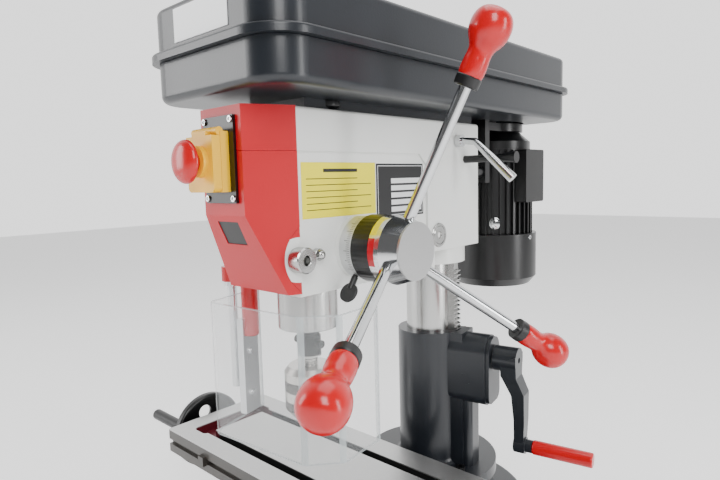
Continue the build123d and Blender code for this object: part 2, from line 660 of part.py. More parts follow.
def pulley_tray():
    shell = rounded(-cover_half, cover_half, cover_front, cover_rear, tray_bottom, tray_top, cover_corner)
    shell = fillet(shell.faces().sort_by(Axis.Z)[0].edges(), 8)
    t = sheet_t
    room = cover_room(tray_bottom + t, tray_top + 1)
    room = fillet(room.faces().sort_by(Axis.Z)[0].edges(), 5.5)
    shell -= room
    shell -= upright(0, spindle_y, tray_bottom - 1, tray_bottom + t + 1, 24)
    slot = upright(0, motor_y, tray_bottom - 1, tray_bottom + t + 1, 49)
    slot += upright(0, motor_y - motor_travel - 2, tray_bottom - 1, tray_bottom + t + 1, 49)
    shell -= slot
    # packing block between the head and the tray
    pad = block(-44, 44, head_front + 20, head_rear - 6, head_top, tray_bottom + 0.5)
    shell += pad - upright(0, spindle_y, head_top - 1, tray_bottom + 2, 24)
    for side in (-1, 1):
        x0, x1 = sorted((side * knuckle_in, side * knuckle_out))
        shell += block(x0, x1, cover_rear - 1, hinge_y, hinge_z - 10, hinge_z - 5)
        shell += across(x0, x1, hinge_y, hinge_z, 5)
        shell += block(x0, x1, hinge_y - 2.5, hinge_y + 2.5, hinge_z - 10, hinge_z)
    shell += across(-knuckle_out, knuckle_out, hinge_y, hinge_z, 2.5)
    return shell


def pulley_lid():
    shell = rounded(-cover_half, cover_half, cover_front, cover_rear, lip_bottom, lid_top, cover_corner)
    shell = fillet(shell.faces().sort_by(Axis.Z)[-1].edges(), 6)
    lip = rounded(-cover_half - lip_out, cover_half + lip_out, cover_front - lip_out, cover_rear + lip_out,
                  lip_bottom, lip_top, cover_corner + lip_out)
    lip = fillet(lip.faces().sort_by(Axis.Z)[-1].edges(), 3)
    shell += lip
    room = cover_room(lip_bottom - 1, lid_top - sheet_t)
    shell -= fillet(room.faces().sort_by(Axis.Z)[-1].edges(), 4)
    half = knuckle_in - gap
    shell += across(-half, half, hinge_y, hinge_z, 5)
    shell += block(-half, half, cover_rear + 4, hinge_y, hinge_z, hinge_z + 3.5)
    return shell - across(-knuckle_in, knuckle_in, hinge_y, hinge_z, 2.5 + run_fit)


def step_pulley(y, radii, bore):
    top = pulley_bottom + step_h * len(radii)
    body = upright(0, y, pulley_bottom, top, min(radii) - belt_t)
    for k, r in enumerate(radii):
        z0 = pulley_bottom + k * step_h
        groove = upright(0, y, z0 + 3, z0 + step_h - 3, r + 1)
        groove -= upright(0, y, z0 + 2, z0 + step_h - 2, r - belt_t)
        body += upright(0, y, z0, z0 + step_h, r) - groove
    return body - upright(0, y, pulley_bottom - 1, top + 1, bore)


def spindle_pulley():
    body = step_pulley(spindle_y, step_radii, spindle_r + run_fit)
    neck = upright(0, spindle_y, quill_top + 12, pulley_bottom, 17)
    return body + (neck - upright(0, spindle_y, quill_top + 11, pulley_bottom + 1, spindle_r + run_fit))


def motor_pulley():
    return step_pulley(motor_y, tuple(reversed(step_radii)), 8)


def belt():
    front_r = step_radii[belt_step] - belt_t + 0.3
    rear_r = step_radii[-1 - belt_step] - belt_t + 0.3
    z0 = pulley_bottom + belt_step * step_h + (step_h - belt_h) / 2

    def loop(grow):
        span = motor_y - spindle_y
        lean = asin((rear_r - front_r) / span)
        f, r = front_r + grow, rear_r + grow
        (fx, fy), (rx, ry) = [(s * cos(lean), y - s * sin(lean)) for s, y in ((f, spindle_y), (r, motor_y))]
        shape = prism_z([(fx, fy), (rx, ry), (-rx, ry), (-fx, fy)], z0, z0 + belt_h)
        shape += upright(0, spindle_y, z0, z0 + belt_h, f)
        return shape + upright(0, motor_y, z0, z0 + belt_h, r)

    return loop(belt_t - 1) - loop(0)


def motor_plate():
    front, rear = head_rear + 18, head_rear + 30
    plate = block(-52, 52, front, rear, rod_z - 16, tray_bottom - 2)
    plate += block(-34, 34, rear - 2, motor_y - 20, dome_top + 0.5, tray_bottom - 2)
    plate += upright(0, motor_y, dome_top + 0.5, tray_bottom - 2, 47)
    plate -= upright(0, motor_y, dome_top - 1, tray_bottom, 22)
    for side in (-1, 1):
        plate += along_y(side * rod_x, rod_y0, front + 1, rod_z, rod_r)
    return plate


def motor_body():
    body = upright(0, motor_y, fan_top, body_top, motor_r)
    for k in range(36):
        fin = block(motor_r - 2, motor_r + 5, -1.2, 1.2, fan_top, body_top - 2)
        body += Pos(0, motor_y, 0) * Rot(0, 0, 10 * k) * fin
    return body - upright(0, motor_y, fan_top - 1, body_top + 1, motor_r - 7)


def end_shield():
    dome = upright(0, motor_y, body_top, body_top + 12, motor_r + 1)
    dome += upright(0, motor_y, body_top + 12, dome_top, motor_r + 1, 42)
    dome -= upright(0, motor_y, body_top - 1, body_top + 10, motor_r - 9)
    return dome - upright(0, motor_y, body_top, dome_top + 1, 8 + run_fit)


def fan_cover():
    cover = upright(0, motor_y, fan_bottom + 12, fan_top, fan_r)
    cover += upright(0, motor_y, fan_bottom, fan_bottom + 12, fan_r - 10, fan_r)
    cover -= upright(0, motor_y, fan_bottom + 12, fan_top - 4, fan_r - 2.5)
    cover -= upright(0, motor_y, fan_bottom + 3, fan_bottom + 12.1, fan_r - 11.5, fan_r - 2.5)
    for k in range(12):
        cover -= Pos(0, motor_y, 0) * Rot(0, 0, 30 * k) * block(18, 46, -3, 3, fan_bottom - 1, fan_bottom + 4)
    return cover - upright(0, motor_y, fan_top - 5, fan_top + 1, motor_r - 10)


def junction_box():
    box = block(motor_r - 2, 74, motor_y - 30, motor_y + 30, 512, 593)
    box = fillet(box.edges().filter_by(Axis.X), 3)
    return box - upright(0, motor_y, 500, 600, motor_r + 5 + run_fit)


def rotor_shaft():
    rod = upright(0, motor_y, fan_top - 60, pulley_bottom + step_h * 4 - 6, 8)
    rod += upright(0, motor_y, fan_top + 25, body_top - 30, motor_r - 16)
    rod += upright(0, motor_y, fan_top - 52, fan_top - 20, 14)
    for k in range(7):
        blade = block(12, 48, -1.5, 1.5, fan_top - 50, fan_top - 24)
        rod += Pos(0, motor_y, 0) * Rot(0, 0, k * 360 / 7) * blade
    return rod


# ---- levers on the head's side ----
def bar(start, end, r0, r1):
    """Round bar between two points, tapering from r0 to r1."""
    way = Vector(*end) - Vector(*start)
    solid = Cylinder(r0, way.length) if r0 == r1 else Cone(r0, r1, way.length)
    return Plane(origin=start, z_dir=way) * Pos(0, 0, way.length / 2) * solid


def lock_lever():
    x = head_half + gap
    bend, tip = (x + 27, lever_y, lever_z - 2), (130, 1.6, 550)
    lever = across(x - 7, x + 1, lever_y, lever_z, 5)
    lever += across(x, x + 8, lever_y, lever_z, 8)
    lever += bar((x + 6, lever_y, lever_z), bend, 4.5, 4.5) + Pos(*bend) * Sphere(4.5)
    return lever + bar(bend, tip, 4.5, 6.5)


def tension_lever():
    lever = across(head_half - 8, head_half + 58, tension_y, tension_z, 5)
    return lever + across(head_half + 57, head_half + 76, tension_y, tension_z, 6, 7.5)


# ---- switch ----
def switch_plate():
    plate = block(-plate_half_w, plate_half_w, nose_front - plate_t, nose_front, plate_z0, plate_z1)
    return plate - contact_opening()


def switch_base():
    box = block(box_x0, box_x1, box_face, nose_front - plate_t, box_z0, box_z1 - lid_hinge_r)
    y0, y1 = nose_front - plate_t - 1, nose_front + 22
    box += block(box_mid - 15, box_mid + 10, y0, y1, box_z0 + 5, box_z1 - 5)
    for z in (mushroom_z - button_offset, mushroom_z + button_offset):
        box -= along_y(box_mid, box_face - 1, box_face + 14, z, button_r + run_fit)
    box -= along_y(box_mid, box_face - 1, box_face + mushroom_travel + 1, mushroom_z, mushroom_stem_r + gap)
    box -= across(box_mid - 12, box_mid + 12, box_face, box_z1 - lid_hinge_r, lid_hinge_r + gap)
    for side in (-1, 1):
        x0, x1 = sorted((box_mid + side * 12, box_mid + side * 21))
        box += across(x0, x1, box_face, box_z1 - lid_hinge_r, lid_hinge_r)
    return box + across(box_mid - 21, box_mid + 21, box_face, box_z1 - lid_hinge_r, 1.5)


def switch_lid():
    back = box_face - gap
    lid = block(box_x0, box_x1, lid_face, back, box_z0, box_z1 - lid_hinge_r * 2)
    lid = fillet(lid.edges().filter_by(Axis.Y).group_by(Axis.Z)[0], 5)
    lid -= block(box_x0 + 3, box_x1 - 3, lid_face + 3, back + 1, box_z0 + 3, box_z1 - lid_hinge_r * 2 - 3)
    lid += along_y(box_mid, lid_face - 5, lid_face + 1, mushroom_z, 15)
    lid -= along_y(box_mid, lid_face - 6, lid_face + 4, mushroom_z, mushroom_stem_r + run_fit)
    knuckle = across(box_mid - 12 + gap, box_mid + 12 - gap, box_face, box_z1 - lid_hinge_r, lid_hinge_r)
    knuckle += block(box_mid - 12 + gap, box_mid + 12 - gap, lid_face, back, box_z1 - lid_hinge_r * 2 - 1,
                     box_z1 - lid_hinge_r)
    return lid + knuckle - across(box_mid - 13, box_mid + 13, box_face, box_z1 - lid_hinge_r, 1.5 + run_fit)


def mushroom_button():
    front = lid_face - 5 - mushroom_travel
    cap = along_y(box_mid, front - 13, front - 1, mushroom_z, mushroom_r)
    cap = fillet(cap.edges().filter_by(GeomType.CIRCLE).group_by(Axis.Y)[0], 6)
    return cap + along_y(box_mid, front - 2, box_face - gap, mushroom_z, mushroom_stem_r)


def push_button(z):
    return along_y(box_mid, box_face - button_out, box_face + 14 - button_travel - gap, z, button_r)


# ---- guard ----
def guard_wall(along, inward):
    """Point (x, y) along the left wall, moved inward from its middle."""
    (x0, y0), (x1, y1) = guard_rear_left, guard_front_left
    run_x, run_y = x1 - x0, y1 - y0
    length = sqrt(run_x ** 2 + run_y ** 2)
    return x0 + along * run_x - inward * run_y / length, y0 + along * run_y + inward * run_x / length


def guard_post():
    rod = upright(post_x, post_y, post_bottom, post_top, post_r)
    rod += upright(post_x, post_y, stop_collar_z, arm_top - 18 - gap, 9)
    arm = block(post_x - 10, -head_half + recess, post_y - 8, post_y + 8, post_top - 16, post_top - 3)
    return rod + fillet(arm.edges().filter_by(Axis.Z).group_by(Axis.X)[0], 7)


def rail_frame(inward):
    (x0, y0), (x1, y1) = guard_rear_left, guard_front_left
    x, y = guard_wall(rail_along, inward)
    return Pos(x, y, 0) * Rot(0, 0, degrees(atan2(x1 - x0, y0 - y1)))


def guard_arm():
    x, y = guard_wall(rail_along, guard_t / 2 + gap + arm_r)
    arm = upright(x, y, arm_low, arm_top, arm_r)
    arm = fillet(arm.edges().filter_by(GeomType.CIRCLE), 2)
    arm += block(post_x, x, post_y - 7, post_y + 7, arm_top - 18, arm_top)
    arm += upright(post_x, post_y, arm_top - 18, arm_top, 12)
    arm -= upright(post_x, post_y, arm_top - 19, arm_top + 1, post_r + run_fit)
    slot = block(-rail_d / 2, rail_d / 2, -rail_w / 2, rail_w / 2, rail_bottom, rail_top)
    return arm - rail_frame(guard_t / 2 + rail_d / 2) * slot


def guard_rail():
    frame = rail_frame(guard_t / 2 + rail_d / 2)
    rail = block(-rail_d / 2, rail_d / 2, -rail_w / 2, rail_w / 2, rail_bottom, rail_top)
    rail -= block(-rail_d / 2 - 1, -rail_d / 2 + 4, -4, 4, rail_bottom - 1, arm_low - 2)
    solids = [(frame * rail).solid()]
    for z in (screw_low_z, screw_high_z):
        screw = across(-rail_d / 2 - guard_t, 4 - rail_d / 2, 0, z, 2.5)
        screw += across(-rail_d / 2 - guard_t - 3, -rail_d / 2 - guard_t, 0, z, 5)
        screw += across(4 - rail_d / 2, rail_d / 2 + 3, 0, z, 4)
        solids.append((frame * screw).solid())
    return Compound(children=solids)


def guard_shield():
    corners = [guard_rear_left, guard_front_left, guard_front_right, guard_side_right, guard_rear_right]
    path = FilletPolyline(*corners, radius=12)
    start = Plane(origin=path @ 0, x_dir=(0, 0, 1), z_dir=path % 0)
    profile = start * Rectangle(guard_top - guard_bottom, guard_t)
    shield = sweep(profile, path=path, transition=Transition.RIGHT)
    shield = Pos(0, 0, (guard_top + guard_bottom) / 2) * shield
    for z in (screw_low_z, screw_high_z):
        shield -= rail_frame(0) * across(-guard_t, guard_t, 0, z, 2.5)
    return shield


# ---- cross table ----
def tail_outline(middle, half, base, grow):
    narrow, wide, top = half + grow, half + tail_flare + grow, base + tail_h + grow
    left = [(middle - narrow, base - 1), (middle - wide, top)]
    return left + [(middle + wide, top), (middle + narrow, base - 1)]


def tail(half, base, grow, y0, y1):
    """Dovetail running along Y, wider at its top."""
    return prism_y(tail_outline(0, half, base, grow), y0, y1)


def tail_x(half, base, grow, x0, x1):
    """Dovetail running along X about the table's middle, wider at its top."""
    return prism_x(tail_outline(screw_y, half, base, grow), x0, x1)


def slide_base():
    body = block(-ways_x, ways_x, ways_y0, ways_y1, base_h, ways_top)
    body += tail(ways_half, ways_top, 0, ways_y0, ways_y1)
    body -= block(-12, 12, ways_y0 - 1, ways_y1 + 1, y_screw_z - 12, ways_top + tail_h + 1)
    body += block(-28, 28, ways_y0 - 12, ways_y0, base_h, ways_top)
    return body - along_y(0, ways_y0 - 13, ways_y0 + 1, y_screw_z, screw_r + run_fit)


def saddle():
    body = block(-saddle_x, saddle_x, saddle_y0, saddle_y1, ways_top + gap, saddle_top)
    body -= tail(ways_half, ways_top, run_fit, saddle_y0 - 1, saddle_y1 + 1)
    body += tail_x(rail_half, saddle_top, 0, -saddle_x, saddle_x)
    end, top = saddle_x + 1, saddle_top + tail_h + 1
    body -= block(-end, end, screw_y - 10, screw_y + 10, screw_z - 10, top)
    body += block(-20, 20, screw_y - 10.5, screw_y + 10.5, screw_z - 11, screw_z + 11)
    body -= across(-21, 21, screw_y, screw_z, screw_r + run_fit)
    body += block(-11, 11, -200, -166, y_screw_z - 11, ways_top + tail_h + 3)
    return body - along_y(0, -201, -165, y_screw_z, screw_r + run_fit)


def table():
    body = block(table_x0, table_x1, table_y0, table_y1, table_bottom, table_top)
    body -= tail_x(rail_half, saddle_top, run_fit, table_x0 - 1, table_x1 + 1)
    half, floor = slot_w / 2, table_top - slot_depth
    for y in (slot_front_y, slot_rear_y):
        body -= block(trough_x1 - 1, table_x1 + 1, y - half, y + half, floor, table_top + 1)
        body -= block(trough_x1 - 1, table_x1 + 1, y - half - 4, y + half + 4, floor, floor + 8)
    trough_y0, trough_y1 = slot_front_y - half - 5, slot_rear_y + half + 5
    body -= rounded(trough_x0, trough_x1, trough_y0, trough_y1, floor + 8, table_top + 1, 7)
    body -= block(table_x0 - 1, table_x1 + 1, table_y0 - 1, table_y0 + 5, groove_z0, groove_z1)
    body += block(stop_x - 6, stop_x + 6, table_y0 - 5, table_y0 + 6, groove_z0 - 3, groove_z1 + 3)
    body += screw_end(table_x0 - bracket_t, table_x0)
    return body + screw_end(table_x1, table_x1 + bracket_t)


def screw_end(x0, x1):
    plate = block(x0, x1, screw_y - 34, screw_y + 34, screw_z - 16, table_top - 8)
    plate = fillet(plate.edges().filter_by(Axis.X).group_by(Axis.Z)[0], 12)
    return plate - across(x0 - 1, x1 + 1, screw_y, screw_z, screw_r + run_fit)


def hand_wheel():
    """Dished wheel about +Z; its hub starts at Z = 0 and the rim is at the far end."""
    middle = wheel_depth - wheel_w / 2
    wheel = Pos(0, 0, middle) * Cylinder(wheel_r, wheel_w)
    wheel = fillet(wheel.edges().filter_by(GeomType.CIRCLE), 4)
    wheel -= Pos(0, 0, middle) * Cylinder(wheel_r - 8, wheel_w + 2)
    wheel += Pos(0, 0, middle) * Cylinder(wheel_r - 7, 5)
    for k in range(3):
        wheel -= Rot(0, 0, 120 * k + 60) * Pos(31, 0, middle) * Cylinder(11, 8)
    wheel += Pos(0, 0, wheel_depth / 2) * Cylinder(14, wheel_depth)
    wheel += Pos(handle_circle, 0, middle) * Cylinder(9, wheel_w)
    return wheel + Pos(handle_circle, 0, middle + handle_len / 2) * Cylinder(4, handle_len)


def wheel_handle():
    start = wheel_depth + gap
    grip = Pos(handle_circle, 0, start + handle_len / 2) * Cylinder(handle_r, handle_len)
    grip = fillet(grip.edges().filter_by(GeomType.CIRCLE), 3)
    return grip - Pos(handle_circle, 0, start + handle_len / 2 - 6) * Cylinder(4 + run_fit, handle_len)


# each wheel's own frame: Z runs out along the screw and X points at the handle
x_wheel_place = (table_x0 - bracket_t - gap, screw_y, screw_z)
x_wheel_frame = Plane(origin=x_wheel_place, x_dir=(0, -0.94, 0.34), z_dir=(-1, 0, 0))
y_wheel_frame = Plane(origin=(0, ways_y0 - 12 - gap, y_screw_z), x_dir=(0.6, 0, 0.8), z_dir=(0, -1, 0))


def screw_rod(length):
    """Leadscrew along -Z from the wheel's outer hub face, seated in the hub."""
    return Pos(0, 0, wheel_depth - 3 - length / 2) * Cylinder(screw_r, length)


def x_wheel():
    return x_wheel_frame * (hand_wheel() + screw_rod(table_x1 - table_x0 + 2 * bracket_t + wheel_depth - 4))


def y_wheel():
    return y_wheel_frame * (hand_wheel() + screw_rod(ways_y1 - ways_y0 + wheel_depth + 6))


pieces = {
    "base_casting": base_casting, "column_sleeve": column_sleeve, "sleeve_bolts": sleeve_bolts,
    "gearbox_cover": gearbox_cover, "slide_base": slide_base,
    "worm_shaft": worm_shaft, "lift_gear": lift_gear, "crank_arm": crank_arm, "crank_grip": crank_grip,
    "column": column, "column_rack": column_rack, "head_casting": head_casting,
    "front_cover_upper": front_cover_upper, "front_cover_lower": front_cover_lower,
    "depth_window": depth_window, "head_lock_screws": head_lock_screws,
    "feed_shaft": feed_shaft, "dial_ring": dial_ring, "wing_lock": wing_lock, "feed_hub": feed_hub,
    "hub_cap": hub_cap, "feed_spokes": feed_spokes, "feed_knobs": feed_knobs,
    "spring_housing": spring_housing, "return_spring": return_spring,
    "quill": quill, "quill_collar": quill_collar, "spindle": spindle,
    "chuck_body": chuck_body, "chuck_sleeve": chuck_sleeve, "chuck_jaws": chuck_jaws,
    "pulley_tray": pulley_tray, "pulley_lid": pulley_lid, "spindle_pulley": spindle_pulley,
    "motor_pulley": motor_pulley, "drive_belt": belt, "motor_plate": motor_plate,
    "motor_body": motor_body, "end_shield": end_shield, "fan_cover": fan_cover,
    "junction_box": junction_box, "rotor_shaft": rotor_shaft,
    "lock_lever": lock_lever, "tension_lever": tension_lever,
    "switch_plate": switch_plate, "switch_base": switch_base, "switch_lid": switch_lid,
    "mushroom_button": mushroom_button,
    "start_button": lambda: push_button(mushroom_z + button_offset),
    "stop_button": lambda: push_button(mushroom_z - button_offset),
    "guard_post": guard_post, "guard_arm": guard_arm, "guard_rail": guard_rail,
    "guard_shield": guard_shield, "saddle": saddle, "table": table,
    "x_wheel": x_wheel, "x_handle": lambda: x_wheel_frame * wheel_handle(),
    "y_wheel": y_wheel, "y_handle": lambda: y_wheel_frame * wheel_handle(),
}

os.makedirs("parts", exist_ok=True)
for name, make in pieces.items():
    export_step(make(), f"parts/{name}.step")
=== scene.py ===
import json
import math
import bpy
from mathutils import Matrix, Vector


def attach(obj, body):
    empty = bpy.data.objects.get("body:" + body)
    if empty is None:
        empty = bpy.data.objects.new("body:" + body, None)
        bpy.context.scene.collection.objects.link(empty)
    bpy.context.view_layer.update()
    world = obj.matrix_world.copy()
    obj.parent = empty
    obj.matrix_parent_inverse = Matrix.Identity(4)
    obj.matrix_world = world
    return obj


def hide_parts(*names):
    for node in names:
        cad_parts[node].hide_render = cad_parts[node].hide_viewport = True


# places that several pieces share, in metres
liftTurn = math.radians(10.0)
headSide = 0.054
panelSide = 0.051
headFront = -0.2892
feedAxis = dict(y=-0.2049, z=0.4806)
spindleAxisY = -0.2341
motorAxis = Vector((0, 0.1828, 0))
lockEye = (headSide, -0.2905, 0.4762)
anthraciteColour = (0.011, 0.0135, 0.018)
redColour = (0.52, 0.0, 0.008)
smoothAngle = math.radians(32)

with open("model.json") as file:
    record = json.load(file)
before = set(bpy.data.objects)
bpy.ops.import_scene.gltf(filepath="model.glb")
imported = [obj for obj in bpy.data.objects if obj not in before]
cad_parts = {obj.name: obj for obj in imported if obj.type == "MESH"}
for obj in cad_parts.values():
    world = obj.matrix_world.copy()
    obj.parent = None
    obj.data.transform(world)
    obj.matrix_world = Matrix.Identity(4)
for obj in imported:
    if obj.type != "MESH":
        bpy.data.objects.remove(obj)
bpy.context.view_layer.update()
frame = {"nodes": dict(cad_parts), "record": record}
nodes = frame["nodes"]
print("frame loaded")


# shader graphs, written as sums and products of sockets
class Wire:
    def __init__(self, graph, out):
        self.graph = graph
        self.out = out

    def math(self, kind, other=None, third=None):
        return self.graph.add("ShaderNodeMath", {"operation": kind}, [self, other, third])

    def __add__(self, other):
        return self.math("ADD", other)

    def __sub__(self, other):
        return self.math("SUBTRACT", other)

    def __mul__(self, other):
        return self.math("MULTIPLY", other)

    def __truediv__(self, other):
        return self.math("DIVIDE", other)

    def above(self, other):
        return self.math("GREATER_THAN", other)

    def below(self, other):
        return self.math("LESS_THAN", other)

    def within(self, lowest, highest):
        return self.above(lowest) * self.below(highest)


class Graph:
    def __init__(self, name):
        self.material = bpy.data.materials.new(name)
        self.material.use_nodes = True
        self.tree = self.material.node_tree
        self.shader = self.tree.nodes["Principled BSDF"]
        self.place = Wire(self, self.tree.nodes.new("ShaderNodeTexCoord").outputs["Object"])

    def add(self, kind, settings=None, inputs=None, output=0):
        node = self.tree.nodes.new(kind)
        for key, value in (settings or {}).items():
            setattr(node, key, value)
        pairs = inputs.items() if isinstance(inputs, dict) else enumerate(inputs or [])
        for key, value in pairs:
            if isinstance(value, Wire):
                self.tree.links.new(value.out, node.inputs[key])
            elif value is not None:
                node.inputs[key].default_value = value
        return Wire(self, node.outputs[output])

    def axes(self):
        split = self.tree.nodes.new("ShaderNodeSeparateXYZ")
        self.tree.links.new(self.place.out, split.inputs[0])
        return [Wire(self, split.outputs[k]) for k in range(3)]

    def noise(self, scale, detail=3.0, stretch=None):
        place = self.place
        if stretch:
            place = self.add("ShaderNodeVectorMath", {"operation": "MULTIPLY"}, [place, stretch])
        return self.add("ShaderNodeTexNoise", {}, {"Vector": place, "Scale": scale, "Detail": detail})

    def mix(self, amount, first, second):
        node = self.tree.nodes.new("ShaderNodeMix")
        node.data_type = "RGBA"
        for key, value in ((0, amount), (6, first), (7, second)):
            if isinstance(value, Wire):
                self.tree.links.new(value.out, node.inputs[key])
            else:
                node.inputs[key].default_value = value if key == 0 else (*value, 1)
        return Wire(self, node.outputs[2])

    def put(self, **values):
        for key, value in values.items():
            socket = self.shader.inputs[key.replace("_", " ")]
            if isinstance(value, Wire):
                self.tree.links.new(value.out, socket)
            else:
                socket.default_value = (*value, 1) if isinstance(value, tuple) else value
        return self.material

    def bump(self, height, strength, distance):
        inputs = {"Height": height, "Strength": strength, "Distance": distance}
        bump = self.add("ShaderNodeBump", {}, inputs)
        self.tree.links.new(bump.out, self.shader.inputs["Normal"])


def painted(name, colour, rough, grain=900.0, depth=0.0002, coat=0.25, mottle=0.06):
    g = Graph(name)
    speck = g.noise(grain, 2.0)
    cloud = g.noise(9.0, 4.0)
    dark = tuple(c * (1 - mottle) for c in colour)
    light = tuple(min(1.0, c * (1 + mottle)) for c in colour)
    g.bump(speck, 0.25, depth)
    return g.put(Base_Color=g.mix(cloud, dark, light), Roughness=cloud * 0.12 + (rough - 0.06),
                 Coat_Weight=coat, Coat_Roughness=0.15)


def metal(name, colour, rough, stretch=(1.0, 1.0, 1.0), grain=300.0, depth=0.00006):
    g = Graph(name)
    streak = g.noise(grain, 3.0, stretch)
    g.bump(streak, 0.2, depth)
    return g.put(Base_Color=g.mix(streak, tuple(c * 0.9 for c in colour), colour), Metallic=1.0,
                 Roughness=streak * 0.14 + (rough - 0.07))


def plastic(name, colour, rough, coat=0.0):
    g = Graph(name)
    cloud = g.noise(40.0, 2.0)
    return g.put(Base_Color=g.mix(cloud, tuple(c * 0.96 for c in colour), colour),
                 Roughness=cloud * 0.06 + rough - 0.03, Coat_Weight=coat)


anthracite = painted("anthracite", anthraciteColour, 0.33, 500.0, 0.0003, 0.15, 0.12)
whitePaint = painted("whitePaint", (0.80, 0.81, 0.785), 0.34, 700.0, 0.00012, 0.15)
redPaint = painted("redPaint", redColour, 0.42, 420.0, 0.0005, 0.0, 0.1)
blackPaint = painted("blackPaint", (0.0035, 0.0035, 0.004), 0.3, 700.0, 0.0001, 0.0)
redGloss = plastic("redGloss", (0.56, 0.0, 0.004), 0.24, 0.1)
yellowGloss = plastic("yellowGloss", (0.90, 0.50, 0.0), 0.36, 0.0)
greenGloss = plastic("greenGloss", (0.02, 0.30, 0.06), 0.3, 0.2)
blackPlastic = plastic("blackPlastic", (0.005, 0.005, 0.0055), 0.4)
beltRubber = plastic("beltRubber", (0.02, 0.02, 0.02), 0.7)
chrome = metal("chrome", (0.66, 0.67, 0.68), 0.12, (1, 1, 1), 60.0, 0.00001)
turned = metal("turned", (0.50, 0.50, 0.49), 0.24, (1, 1, 6), 220.0, 0.000006)
brushed = metal("brushed", (0.56, 0.56, 0.56), 0.36, (1, 1, 14), 90.0, 0.00002)
alloy = metal("alloy", (0.72, 0.73, 0.74), 0.3, (20, 20, 1), 60.0)
yellowLabel = plastic("yellowLabel", (0.93, 0.82, 0.0), 0.5)
whiteLabel = plastic("whiteLabel", (0.82, 0.83, 0.84), 0.3, 0.3)
inkBlack = plastic("inkBlack", (0.012, 0.012, 0.013), 0.4)


guard = dict(top=0.4213, bottom=0.2707, bendReach=5.0,
             bends=((-0.098, -0.229), (-0.0755, -0.313), (0.0605, -0.2995), (0.0865, -0.271),
                    (0.082, -0.210)))


# clear sheet that catches the light along its cut edges and its bends
def clearPlastic():
    g = Graph("clearPlastic")
    x, y, z = g.axes()
    edge = z.above(guard["top"]).math("MAXIMUM", z.below(guard["bottom"]))
    for bendX, bendY in guard["bends"]:
        away = ((x - bendX).math("ABSOLUTE") + (y - bendY).math("ABSOLUTE")) * 1000.0
        edge = edge.math("MAXIMUM", away.below(guard["bendReach"]))
    cloud = g.noise(6.0, 2.0)
    colour = g.mix(edge, (0.80, 0.83, 0.84), (0.55, 0.60, 0.61))
    return g.put(Base_Color=colour, Roughness=cloud * 0.02 + 0.03, Alpha=edge * 0.42 + 0.085)


# the gear's shaft ends are painted over with the casting
def liftGearSteel():
    g = Graph("liftGearSteel")
    x, y, z = g.axes()
    across = (y * math.cos(liftTurn) - x * math.sin(liftTurn)).math("ABSOLUTE")
    ends = across.above(0.0236)
    cloud = g.noise(200.0, 2.0)
    return g.put(Base_Color=g.mix(ends, (0.5, 0.5, 0.5), anthraciteColour), Metallic=ends * -1.0 + 1.0,
                 Roughness=cloud * 0.1 + 0.28)


# ground top, dark sides, painted shade filling the slots and a dark red trough
def tableSteel():
    g = Graph("tableSteel")
    x, y, z = g.axes()
    streak = g.noise(160.0, 3.0, (1, 14, 1))
    cloud = g.noise(14.0, 4.0)
    side = z.below(0.1905)
    pocket = side * x.within(-0.27, -0.222) * y.within(-0.245, -0.108) * z.above(0.178)
    # painted shade: the slot walls and floors below the top are drawn near black
    slotShade = side * y.within(-0.238, -0.113) * x.above(-0.231) * z.above(0.1715)
    paint = g.mix(cloud, (0.035, 0.033, 0.03), (0.07, 0.062, 0.052))
    colour = g.mix(side, g.mix(streak, (0.44, 0.44, 0.435), (0.60, 0.60, 0.595)), paint)
    colour = g.mix(slotShade, colour, (0.012, 0.012, 0.012))
    colour = g.mix(pocket, colour, (0.09, 0.006, 0.012))
    g.bump(streak, 0.2, 0.00004)
    return g.put(Base_Color=colour, Metallic=(side * -1.0 + 1.0) * 0.9, Roughness=cloud * 0.2 + 0.24)


# turned steel with two knurled bands
def chuckSteel():
    g = Graph("chuckSteel")
    x, y, z = g.axes()
    streak = g.noise(70.0, 3.0, (1, 1, 25))
    band = z.within(0.3175, 0.3295).math("MAXIMUM", z.within(0.296, 0.3065))
    turn = (y - spindleAxisY).math("ARCTAN2", x)
    knurl = (turn * 70.0 + z * 2600.0).math("SINE") * (turn * 70.0 - z * 2600.0).math("SINE")
    g.bump(knurl * band * 0.6 + streak * 0.1, 0.7, 0.0004)
    colour = g.mix(band, (0.62, 0.60, 0.57), (0.16, 0.155, 0.15))
    return g.put(Base_Color=colour, Metallic=1.0, Roughness=streak * 0.16 + 0.24)


def blackenedSpindle():
    g = Graph("blackenedSpindle")
    x, y, z = g.axes()
    dark = z.within(0.3575, 0.3845)
    cloud = g.noise(80.0, 2.0)
    return g.put(Base_Color=g.mix(dark, (0.5, 0.49, 0.47), (0.006, 0.006, 0.006)), Metallic=dark * -0.9 + 1.0,
                 Roughness=cloud * 0.1 + 0.25)


# engraved scale on the left, ribbed black grip on the right
def dialSteel():
    g = Graph("dialSteel")
    x, y, z = g.axes()
    turn = (z - feedAxis["z"]).math("ARCTAN2", y - feedAxis["y"]) / (2 * math.pi)
    fine = (turn * 100.0).math("FRACT").within(0.0, 0.22)
    coarse = (turn * 20.0).math("FRACT").within(0.0, 0.05)
    ticks = (fine * x.within(0.0668, 0.0715)).math("MAXIMUM", coarse * x.within(0.0635, 0.0715))
    collar = x.above(0.0752)
    cloud = g.noise(60.0, 2.0)
    colour = g.mix(ticks, (0.60, 0.61, 0.61), (0.012, 0.012, 0.012))
    rib = (turn * 260.0).math("SINE") * collar
    g.bump(rib, 0.35, 0.0003)
    colour = g.mix(collar, colour, (0.004, 0.004, 0.0045))
    return g.put(Base_Color=colour, Metallic=(collar * -1.0 + 1.0) * 0.6, Roughness=cloud * 0.1 + 0.3)
